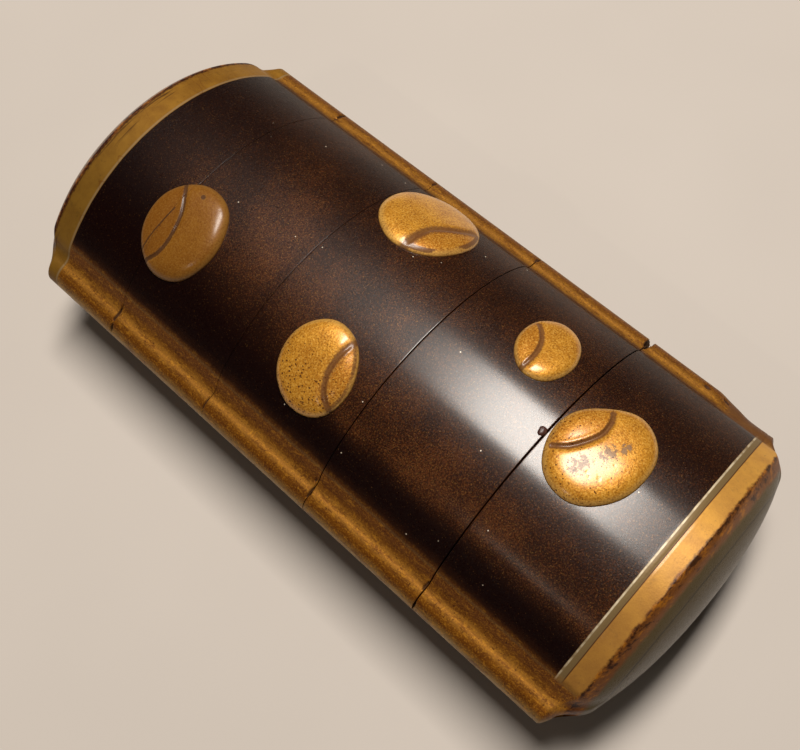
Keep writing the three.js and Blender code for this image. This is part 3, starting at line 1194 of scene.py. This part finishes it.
class Board:
    """A material's node tree, with the few kinds of node that the finishes use."""

    def __init__(self, name: str) -> None:
        """Makes an empty material with an output and Object coordinates in millimetres.

        Args:
            name: The material's name.
        """
        self.material = bpy.data.materials.new(name)
        self.material.use_nodes = True
        self.tree = self.material.node_tree
        self.tree.nodes.clear()
        self.output = self.tree.nodes.new("ShaderNodeOutputMaterial")
        local = self.node("ShaderNodeTexCoord", {}, out="Object")
        self.place = self.node("ShaderNodeVectorMath", {0: local, "Scale": 1 / MM}, operation="SCALE")

    def node(
        self, kind: str, feeds: dict[str | int, Feed], out: str | int = 0, **settings: object
    ) -> Wire:
        """Adds a node: its settings first, then the values or links of its sockets.

        Args:
            kind: The node's type.
            feeds: A value or a wire for each socket, by identifier, name or number.
            out: The output to return, by identifier, name or number.
            settings: The node's settings; "stops" are a ramp's places and colours.

        Returns:
            The chosen output.
        """
        made = self.tree.nodes.new(kind)
        stops = settings.pop("stops", ())
        for name, value in settings.items():
            setattr(made, name, value)
        for number, (place, colour) in enumerate(stops):
            ramp = made.color_ramp.elements
            element = ramp[number] if number < len(ramp) else ramp.new(place)
            element.position, element.color = place, (*colour, 1.0)
        for key, value in feeds.items():
            socket = self._socket(made.inputs, key)
            if isinstance(value, Wire):
                self.tree.links.new(value.socket, socket)
            elif isinstance(value, tuple) and len(socket.default_value) == 4:
                socket.default_value = (*value, 1.0)
            else:
                socket.default_value = value
        return Wire(self, self._socket(made.outputs, out))

    @staticmethod
    def _socket(sockets: Sequence[bpy.types.NodeSocket], key: str | int) -> bpy.types.NodeSocket:
        """Finds a socket.

        Args:
            sockets: A node's inputs or outputs.
            key: Its number, identifier or name.

        Returns:
            The socket.
        """
        if isinstance(key, int):
            return sockets[key]
        named = [socket for socket in sockets if socket.identifier == key]
        return (named or [socket for socket in sockets if socket.name == key])[0]

    def split(self, place: Wire) -> tuple[Wire, ...]:
        """The three coordinates of a place, or channels of a colour."""
        first = self.node("ShaderNodeSeparateXYZ", {0: place})
        return tuple(Wire(self, socket) for socket in first.socket.node.outputs)

    def noise(
        self, scale: float, detail: float = 2.0, roughness: float = 0.5, stretch: Colour | None = None
    ) -> Wire:
        """Smooth noise round 0.5.

        Args:
            scale: Waves a millimetre.
            detail: How many finer octaves are added.
            roughness: How strong each of them is.
            stretch: What the coordinates are multiplied by, axis by axis.

        Returns:
            The noise.
        """
        place = self.place
        if stretch:
            place = self.node("ShaderNodeVectorMath", {0: place, 1: stretch}, operation="MULTIPLY")
        feeds = {"Vector": place, "Scale": scale, "Detail": detail, "Roughness": roughness}
        return self.node("ShaderNodeTexNoise", feeds)

    def grain(self) -> Wire:
        """The fine grain that every lacquer's gloss has."""
        return self.noise(4.2, 3.0, 0.7)

    def cells(self, scale: float, out: str = "Distance") -> Wire:
        """Distance to the nearest of scattered points, at a scale in points a millimetre."""
        feeds = {"Vector": self.place, "Scale": scale, "Randomness": 1.0}
        return self.node("ShaderNodeTexVoronoi", feeds, out=out)

    def field(self, name: str) -> Wire:
        """A number kept on the mesh's vertices."""
        return self.node("ShaderNodeAttribute", {}, out="Fac", attribute_name=name)

    def layers(self, colour: Feed, *covers: tuple[Feed, Feed]) -> Wire:
        """A colour under layers of others.

        Args:
            colour: The lowest colour.
            covers: Each layer's colour and how much of it covers what is below, in order.

        Returns:
            The colour that is seen.
        """
        for cover, share in covers:
            feeds = {"Factor_Float": share, "A_Color": colour, "B_Color": cover}
            colour = self.node("ShaderNodeMix", feeds, out="Result_Color", data_type="RGBA")
        return colour

    def bump(self, height: Wire, depth: float) -> Wire:
        """A normal from a height of 0 to 1 over a depth in millimetres."""
        return self.node("ShaderNodeBump", {"Height": height, "Distance": depth * MM, "Strength": 1.0})

    def finish(self, feeds: dict[str, Feed]) -> bpy.types.Material:
        """Ends the material in one Principled shader.

        Args:
            feeds: What its sockets get.

        Returns:
            The finished material.
        """
        shader = self.node("ShaderNodeBsdfPrincipled", feeds)
        self.tree.links.new(shader.socket, self.output.inputs["Surface"])
        return self.material


# ---- finishes


@dataclass(frozen=True)
class GoldTones:
    """The colours of worn gold powder lacquer."""

    light: Colour = (0.60, 0.27, 0.024)
    deep: Colour = (0.34, 0.118, 0.006)
    brown: Colour = (0.105, 0.031, 0.006)
    pit: Colour = (0.045, 0.009, 0.005)
    grey: Colour = (0.26, 0.18, 0.095)


@dataclass(frozen=True)
class CaseLacquer:
    """The outside of the case: dark speckled lacquer, gold ridges and rims, a silver line.

    Its places are in millimetres: the lid band's width, where the gold starts from the middle and
    how much farther out on the right, the border beside it, the clouds' middle from the bottom
    rim, and the dark ring's distance past a rim.
    """

    shape: CaseShape
    gold: GoldTones = GoldTones()
    dark: Colour = (0.0045, 0.0008, 0.0006)
    brown: Colour = (0.022, 0.0062, 0.0018)
    red_speck: Colour = (0.095, 0.028, 0.007)
    gold_speck: Colour = (0.25, 0.12, 0.03)
    star: Colour = (0.75, 0.66, 0.52)
    silver: Colour = (0.70, 0.60, 0.42)
    khaki: Colour = (0.17, 0.11, 0.045)
    lid_gold: Colour = (0.115, 0.062, 0.010)
    foot_gold: Colour = (0.50, 0.29, 0.08)
    # The domed ends' olive-grey: partly their own dark lacquer, partly a painted reflection of the
    # floor.
    end: Colour = (0.070, 0.046, 0.014)
    end_pale: Colour = (0.105, 0.074, 0.030)
    edge_red: Colour = (0.022, 0.004, 0.0025)
    edge_brown: Colour = (0.14, 0.045, 0.010)
    ground: Colour = (0.08, 0.028, 0.009)
    ground_pale: Colour = (0.12, 0.055, 0.022)
    wood: Colour = (0.018, 0.006, 0.003)
    wood_pale: Colour = (0.07, 0.03, 0.013)
    lid_band: float = 3.57
    side_gold: float = 17.6
    side_gold_right: float = 1.6
    border: float = 17.75
    cloud_centre: float = 66.0
    ring_beyond: float = 2.2
    # Ridge colours by turn round the roll, from its outer edge into the valley: partly the gold's own
    # tones, partly painted light, with a painted reflection of the floor at the pale outer edge, a
    # painted highlight over the roll's top and painted shade down into the valley.
    ridge_tones_and_light: tuple[tuple[float, Colour], ...] = (
        (0.03, (0.34, 0.24, 0.115)),
        (0.15, (0.21, 0.115, 0.030)),
        (0.26, (0.15, 0.045, 0.004)),
        (0.34, (0.20, 0.068, 0.006)),
        (0.40, (0.25, 0.105, 0.016)),
        (0.51, (0.28, 0.120, 0.018)),
        (0.56, (0.20, 0.072, 0.010)),
        (0.60, (0.14, 0.044, 0.008)),
    )

    def face(self, board: Board) -> tuple[Wire, Wire]:
        """The dark face: clouds of brown under fine red and gold specks, with painted shade towards the
        lid.

        Args:
            board: The material's nodes.

        Returns:
            The colour, and how much gold speck there is.
        """
        x, y, _ = board.split(board.place)
        along = y - self.shape.bottom_rim / MM
        clouds = board.noise(0.11, 3.0, 0.6).rise(0.3, 0.7)
        slant = x - (along - self.cloud_centre) * 0.25
        thick = x.rise(-15.2, -12.2) * slant.rise(-13.0, -3.0) * (clouds * 0.5 + 0.5)
        # Painted shade: the clouds and specks fade out towards the lid, so the face darkens there as
        # the light falls off.
        thick = thick * along.rise(92.0, 60.0) * (1.0 - x.rise(-2.0, 11.0) * 0.4)
        red = (board.noise(5.2, 3.0, 0.7) + thick * 0.24).rise(0.60, 0.84)
        gold = (board.noise(7.0, 1.0) + thick * 0.12).rise(0.68, 0.82)
        stars = board.cells(0.36).rise(0.035, 0.018)
        colour = board.layers(
            self.dark, (self.brown, thick), (self.red_speck, red * 0.75),
            (self.gold_speck, gold * 0.45), (self.star, stars),
        )
        return colour, gold.top(stars)

    def worn_gold(self, board: Board) -> Wire:
        """Gold powder with soft patches, fine dust, brown stains and dark pits.

        Args:
            board: The material's nodes.

        Returns:
            The colour.
        """
        return board.layers(
            self.gold.deep,
            (self.gold.light, board.noise(0.38, 3.0, 0.6).rise(0.3, 0.72)),
            (self.gold.light, board.noise(5.5, 2.0, 0.6).rise(0.42, 0.7) * 0.35),
            (self.gold.brown, board.noise(1.1, 3.0, 0.7).rise(0.56, 0.76) * 0.5),
            (self.gold.pit, board.noise(3.4).rise(0.66, 0.76) * 0.7),
        )

    def build(self) -> bpy.types.Material:
        """Makes the material.

        Returns:
            The finished material of the case's outside.
        """
        board, tones, shape = Board("case_lacquer"), self.gold, self.shape
        x, y, z = board.split(board.place)
        middle, low, high = shape.middle / MM, shape.bottom_rim / MM, shape.lid_rim / MM
        wide, up = abs(x), abs(z - middle)
        wander = board.noise(0.55) - 0.5
        ragged = board.noise(2.3, 3.0, 0.65) - 0.5
        face, sparkle = self.face(board)
        gold = self.worn_gold(board)

        # Gold along both sides: it reaches over the left valley, and only the roll on the right.
        beside = wide - (x.rise(-1.0, 1.0) * self.side_gold_right + self.side_gold)
        side = (beside + wander * 0.35 + ragged * 0.25).rise(-0.5, 0.5)
        veil = (beside + wander * 0.9 + ragged * 0.5).rise(-1.4, 0.1)
        out = wide - shape.section.ridge_at / MM
        roll = board.node("ShaderNodeMath", {0: up, 1: out}, operation="ARCTAN2") / math.pi
        smear = board.noise(1.0, 3.0, 0.65, (0.9, 0.35, 0.9)) - 0.5
        turned = roll + smear * 0.10 + ragged * 0.03
        border = (wide + wander * 0.2).line(self.border, 0.25) * x.rise(1.0, -1.0)
        # The ridge's ramp holds painted light: a painted floor reflection at the outer edge, a painted
        # highlight over the roll's top, painted shade into the valley.
        ridge = board.layers(
            board.node("ShaderNodeValToRGB", {0: turned}, stops=self.ridge_tones_and_light),
            (tones.brown, board.noise(1.1, 3.0, 0.65, (1.6, 0.3, 1.6)).rise(0.46, 0.66) * 0.7),
            (tones.light, board.noise(2.1, 3.0, 0.6, (1.0, 0.55, 1.0)).rise(0.56, 0.68) * 0.35),
            (tones.light, board.noise(5.0, 2.0, 0.6).rise(0.47, 0.68) * 0.32),
            (tones.pit, board.noise(3.6).rise(0.62, 0.72) * 0.7),
            (self.khaki, border * 0.35),
        )

        # The lid's band, darkened as painted shade, with its faint greyish inner border and its dark
        # worn outer edge.
        lid_in = high - self.lid_band
        lid_band = (y + wander * 0.10).rise(lid_in - 0.04, lid_in + 0.06)
        scratches = board.noise(1.0, 3.0, 0.7, (0.12, 2.6, 0.12)).rise(0.56, 0.66)
        cracks = board.noise(0.5, 1.0, stretch=(0.7, 0.16, 0.7)).line(0.5, 0.006)
        band = board.layers(
            gold,
            # Painted shade: the lid's gold is darkened, a little more towards the left, for the light
            # that falls off towards the lid.
            (self.lid_gold, x.rise(6.0, -14.0) * 0.15 + 0.7),
            (tones.grey, y.line(lid_in + 0.2, 0.25) * 0.6),
            (self.edge_red, scratches * y.rise(high - 2.2, high - 1.0) * 0.75),
            (tones.brown, cracks * 0.5),
            (self.edge_red, (y + ragged * 0.6).rise(high - 0.5, high - 0.25) * 0.85),
        )

        # The bottom's silver line, with a painted highlight on its edge, and the gold band, browner
        # towards the left as painted shade.
        silver_to, plain = low + SILVER_TO, 1.0 - side
        foot_band = (y + wander * 0.06).rise(silver_to + 0.04, silver_to - 0.04)
        strip = y.rise(low + SILVER_FROM - 0.06, low + SILVER_FROM) * foot_band
        dulled = board.noise(1.1, 3.0).rise(0.35, 0.65) * 0.45 + wide.rise(9.0, 15.0) * 0.3
        # Painted highlight: a cream line along the silver's edge on the face's side, for the light that
        # edge catches, duller in patches and towards the sides.
        silver_edge_glint = y.rise(silver_to - 0.24, silver_to - 0.16) * (0.85 - dulled)
        silver = board.layers(self.khaki, (self.silver, silver_edge_glint))
        # Painted shade: the gold band turns browner towards the left, the side away from the key light.
        foot = board.layers(gold, (self.foot_gold, 0.5), (tones.brown, x.rise(3.0, -13.0) * 0.4))
        seam = (y + wander * 0.05).line(low + SEAM, 0.11)

        # Both rims: a ragged worn line, an orange rounding and the dark domed ends, whose olive-grey
        # tone is partly their own and partly a painted reflection of the floor.
        beyond = (y - high).top(low - y)
        reach = y.rise(1.0, -1.0) * 0.55 + 0.55
        uneven = wander * 0.8 + ragged * 0.45
        scarred = (beyond + uneven).rise(-0.35, 0.0)
        streaky = board.noise(1.2, 4.0, 0.7, (0.5, 1.0, 1.0))
        crust = (streaky + abs(beyond) * 0.16).rise(0.58, 0.46) * ragged.rise(-0.25, -0.05)
        flakes = streaky.rise(0.52, 0.66) * 0.8
        scar = board.layers(self.edge_brown, (tones.deep, flakes), (self.edge_red, crust))
        ended = (beyond + uneven * 0.6 - reach).rise(-0.15, 0.35) * wide.rise(20.2, 18.8)
        ring = (beyond + wander * 0.1).line(self.ring_beyond, 0.12) * ended

        # Chips show dark wood, and what is rubbed shows brown under the gold.
        broken = (board.field("broken") + ragged * 0.12).rise(0.06, 0.16)
        bared = (board.field("rubbed") + ragged * 0.3 + wander * 0.3).rise(0.12, 0.4)

        colour = board.layers(
            face,
            (tones.brown, veil * 0.15),
            (ridge, side),
            (band, lid_band),
            (foot, foot_band * plain),
            (silver, strip * plain),
            (tones.pit, seam * plain * 0.9),
            (scar, scarred * 0.95),
            # The domed ends: olive-grey, partly a painted reflection of the floor in their gloss.
            (board.layers(self.end, (self.end_pale, board.noise(0.3, 3.0))), ended),
            (self.dark, ring * 0.6),
            (board.layers(self.ground, (self.ground_pale, board.noise(0.9, 3.0))), bared * 0.85),
            (board.layers(self.wood, (self.wood_pale, board.noise(2.0, 3.0))), broken * 0.9),
        )
        golden = side.top(lid_band).top(foot_band) * (1.0 - ended) * (1.0 - broken)
        golden = golden * (1.0 - bared * 0.7) * (1.0 - scarred * 0.6)
        metal = golden * (0.5 - lid_band.top(foot_band) * 0.25) + sparkle * 0.3 * (1.0 - golden)
        polish = wide.rise(14.0, 7.0) * (1.0 - ended)
        rough = golden * 0.18 + 0.30 + (board.grain() - 0.5) * 0.24 + broken * 0.3 + bared * 0.1
        grain = board.noise(4.6, 3.0, 0.75) * 0.85 + board.noise(1.7) * 0.15
        return board.finish({
            "Base Color": colour,
            "Metallic": metal,
            "Roughness": rough,
            "Normal": board.bump(grain * (1.0 - golden * 0.5), 0.05),
            "IOR": 1.2,
            "Coat Weight": (0.8 - broken * 0.6 - golden * 0.45) * polish,
            "Coat IOR": 1.42,
            "Coat Roughness": 0.18,
        })


@dataclass(frozen=True)
class InnerLacquer:
    """The plain red-brown lacquer of the risers, hollows and joint faces."""

    deep: Colour = (0.055, 0.020, 0.010)
    warm: Colour = (0.105, 0.042, 0.018)
    dust: Colour = (0.36, 0.22, 0.08)

    def build(self) -> bpy.types.Material:
        """Makes the material.

        Returns:
            The finished material of the inside.
        """
        board = Board("inner_lacquer")
        grains = board.noise(5.0, 1.0).rise(0.66, 0.76) * 0.7
        tones = (self.warm, board.noise(0.5, 3.0)), (self.dust, grains)
        return board.finish({
            "Base Color": board.layers(self.deep, *tones),
            "Roughness": board.grain() * 0.2 + 0.3,
            "Normal": board.bump(board.noise(3.0), 0.02),
        })


@dataclass(frozen=True)
class BeanGold:
    """The gold of the raised beans: pitted, darker in the groove, worn grey in places, darker towards
    the lid as painted shade.
    """

    gold: GoldTones = GoldTones()
    lens: Colour = (0.36, 0.125, 0.007)
    hem: Colour = (0.72, 0.46, 0.15)
    glitter: Colour = (0.82, 0.50, 0.11)
    groove: Colour = (0.10, 0.036, 0.014)
    bare: Colour = (0.16, 0.11, 0.085)
    aged: Colour = (0.115, 0.038, 0.004)
    aged_groove: Colour = (0.030, 0.012, 0.005)
    pit: Colour = (0.055, 0.010, 0.003)

    def build(self) -> bpy.types.Material:
        """Makes the material.

        Returns:
            The finished material of the beans.
        """
        board = Board("bean_gold")
        names = "groove", "lens", "edge", "worn", "pitted", "aged"
        groove, lens, edge, worn, pitted, aged = (board.field(name) for name in names)
        patches = board.noise(0.55, 3.0, 0.6).rise(0.3, 0.7)
        grain = board.noise(5.0, 2.0, 0.6)
        uneven = board.noise(4.0, 3.0, 0.7) - 0.5
        patchy = board.noise(1.7, 5.0, 0.8) - 0.5
        dark = (groove + uneven * 0.9).rise(0.15, 0.7)
        bare = (worn + patchy * 3.2).rise(0.70, 0.95) * worn.rise(0.1, 0.35)
        chance, _, _ = board.split(board.cells(3.1, "Color"))
        radius = (chance + pitted - 0.98) * 0.46
        apart = board.cells(3.1) + uneven * 0.2
        pits = (apart - radius).rise(0.05, -0.06) * radius.rise(0.0, 0.05)
        colour = board.layers(
            self.gold.deep,
            (self.gold.light, patches * 0.5 + 0.4),
            (self.lens, lens * 0.6),
            # Painted highlight: a paler ring along the bean's edge, for the light that its steep rim
            # catches.
            (self.hem, edge.rise(0.4, 0.8) * 0.35),
            (self.glitter, grain.rise(0.5, 0.66) * 0.4),
            (self.gold.brown, grain.rise(0.46, 0.34) * 0.5),
            # The groove's darkening: partly its own dark lacquer, partly painted shade in the crease.
            (self.groove, dark * 0.85),
            (self.bare, bare * 0.7),
            # Painted shade: the bean towards the lid is darkened, its groove most, partly the gold's
            # own darker tone.
            (self.aged, aged * (1.0 - dark)),
            (self.aged_groove, aged * dark * 0.8),
            (self.pit, pits * 0.85),
            (self.gold.brown, edge.rise(0.93, 1.0) * 0.7),
        )
        soft = dark.top(bare).top(pits)
        height = board.noise(3.3, 2.0, 0.6) - pits * 0.8 - bare * 0.3
        return board.finish({
            "Base Color": colour,
            "Metallic": (0.33 - soft * 0.2) * (1.0 - aged),
            "Roughness": grain * 0.2 + 0.36 + soft * 0.1,
            "Normal": board.bump(height, 0.045),
            "IOR": 1.2,
            "Coat Weight": (0.85 - soft * 0.4) * (1.0 - aged * 0.55),
            "Coat IOR": 1.45,
            "Coat Roughness": 0.22,
        })


@dataclass(frozen=True)
class DropLacquer:
    """The nearly black lacquer of the small drop."""

    dark: Colour = (0.035, 0.012, 0.010)
    brown: Colour = (0.08, 0.03, 0.02)

    def build(self) -> bpy.types.Material:
        """Makes the material.

        Returns:
            The finished material of the drop.
        """
        board = Board("drop_lacquer")
        return board.finish({
            "Base Color": board.layers(self.dark, (self.brown, board.noise(2.5, 3.0))),
            "Roughness": board.grain() * 0.15 + 0.3,
            "Normal": board.bump(board.noise(4.0), 0.03),
        })


# ---- the studio


@dataclass(frozen=True)
class Lamp:
    """An area light: its way and distance from the object, two sides in metres, power, colour."""

    name: str
    way: tuple[float, float, float]
    distance: float
    size: tuple[float, float]
    watts: float
    colour: Colour


LAMPS = (
    Lamp("key", (0.23, 0.126, 0.97), 0.75, (0.42, 0.15), 7.8, (1.0, 0.94, 0.87)),
    Lamp("side", (-0.735, 0.045, 0.675), 0.6, (0.010, 0.08), 0.15, (1.0, 0.90, 0.76)),
)


@dataclass
class Studio:
    """A pale floor, soft lights and the camera, whose place is in millimetres."""

    centre: Vector
    floor_size: float = 6.0
    paper: Colour = (0.47, 0.425, 0.382)
    paper_pale: Colour = (0.51, 0.463, 0.418)
    sky: tuple[float, float, float, float] = (1.0, 0.93, 0.85, 1.0)
    sky_strength: float = 0.04
    focal_length: float = 46.83
    sensor: float = 36.0
    nearest: float = 0.005
    camera_at: tuple[float, float, float] = (-35.85, -42.19, 129.52)
    camera_right: tuple[float, float, float] = (0.6768, -0.7345, -0.0504)
    camera_down: tuple[float, float, float] = (-0.6869, -0.6054, -0.4021)
    camera_ahead: tuple[float, float, float] = (0.2649, 0.3067, -0.9142)

    def floor(self) -> None:
        """Lays the floor: a pale sheet with a faint, soft unevenness of tone."""
        half = self.floor_size / 2
        mesh = bpy.data.meshes.new("floor")
        corners = [(-half, -half, 0.0), (half, -half, 0.0), (half, half, 0.0), (-half, half, 0.0)]
        mesh.from_pydata(corners, [], [(0, 1, 2, 3)])
        ground = linked("floor", mesh)
        board = Board("floor_paper")
        tone = board.layers(self.paper, (self.paper_pale, board.noise(0.03)))
        mesh.materials.append(board.finish({"Base Color": tone, "Roughness": 0.75}))

    def light(self, lamp: Lamp) -> None:
        """Hangs an area light that faces the object, its first side across the case.

        Args:
            lamp: The light's measures.
        """
        data = bpy.data.lights.new(lamp.name, "AREA")
        data.shape, data.size, data.size_y = "RECTANGLE", *lamp.size
        data.energy, data.color = lamp.watts, lamp.colour
        towards = Vector(lamp.way).normalized()
        across = Vector((0.0, 1.0, 0.0)).cross(towards).normalized()
        turn = Matrix((across, towards.cross(across), towards)).transposed().to_4x4()
        shift = Matrix.Translation(self.centre + towards * lamp.distance)
        linked(lamp.name, data).matrix_world = shift @ turn

    def world(self) -> None:
        """Lights the surroundings with an even warm grey."""
        world = bpy.data.worlds.new("studio")
        bpy.context.scene.world = world
        world.use_nodes = True
        back = world.node_tree.nodes["Background"]
        back.inputs["Color"].default_value = self.sky
        back.inputs["Strength"].default_value = self.sky_strength

    def camera(self) -> None:
        """Places the camera by its three axes."""
        data = bpy.data.cameras.new("camera")
        data.lens, data.sensor_width, data.clip_start = self.focal_length, self.sensor, self.nearest
        view = linked("camera", data)
        axes = Matrix((self.camera_right, self.camera_down, self.camera_ahead)).transposed()
        turn = (axes @ Matrix.Diagonal((1.0, -1.0, -1.0))).to_4x4()
        view.matrix_world = Matrix.Translation(Vector(self.camera_at) * MM) @ turn
        bpy.context.scene.camera = view

    def build(self) -> None:
        """Sets up everything round the object."""
        self.floor()
        self.world()
        self.camera()
        for lamp in LAMPS:
            self.light(lamp)
        bpy.context.scene.view_settings.view_transform = "Standard"


# ---- the inro


@dataclass
class Inro:
    """The whole case with its beans."""

    shape: CaseShape

    def case(self) -> None:
        """Builds and finishes the five parts."""
        finishes = CaseLacquer(self.shape).build(), InnerLacquer().build()
        wear = Wear(self.shape)
        joints = (None, *self.shape.joints, None)
        for name, below, above in zip(CASE_PARTS, joints, joints[1:]):
            piece = CasePart(name, self.shape, wear, below, above).build()
            piece.data.materials.clear()
            self.place(piece, "dark_lacquer", *finishes)
            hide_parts(name)

    def beans(self) -> None:
        """Builds the beans, the highest one in two halves, and the small drop."""
        gold = BeanGold().build()
        for bean in BEANS:
            parts = [BeanRelief(bean, self.shape).build()]
            if len(bean.nodes) > 1:
                names = tuple(f"{bean.name}_{node}" for node in bean.nodes)
                parts = halves(parts[0], self.shape.joints[-1], names)
            for part in parts:
                self.place(part, "gold_lacquer", gold)
        self.place(Drip(self.shape).build(), "dark_lacquer", DropLacquer().build())

    @staticmethod
    def place(piece: bpy.types.Object, slot: str, *finishes: bpy.types.Material) -> None:
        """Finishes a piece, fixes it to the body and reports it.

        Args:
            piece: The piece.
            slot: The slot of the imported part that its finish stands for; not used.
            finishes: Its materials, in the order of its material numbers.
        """
        for finish in finishes:
            piece.data.materials.append(finish)
        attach(piece, "root")
        LOG.info("%s: %d faces", piece.name, len(piece.data.polygons))


def main() -> None:
    """Builds the case, its beans and the studio."""
    logging.basicConfig(level=logging.INFO, format="%(message)s")
    shape = CaseShape.from_frame()
    inro = Inro(shape)
    inro.case()
    inro.beans()
    low, high = CAD_BOX
    Studio((low + high) / 2).build()


if __name__ == "__main__":
    main()
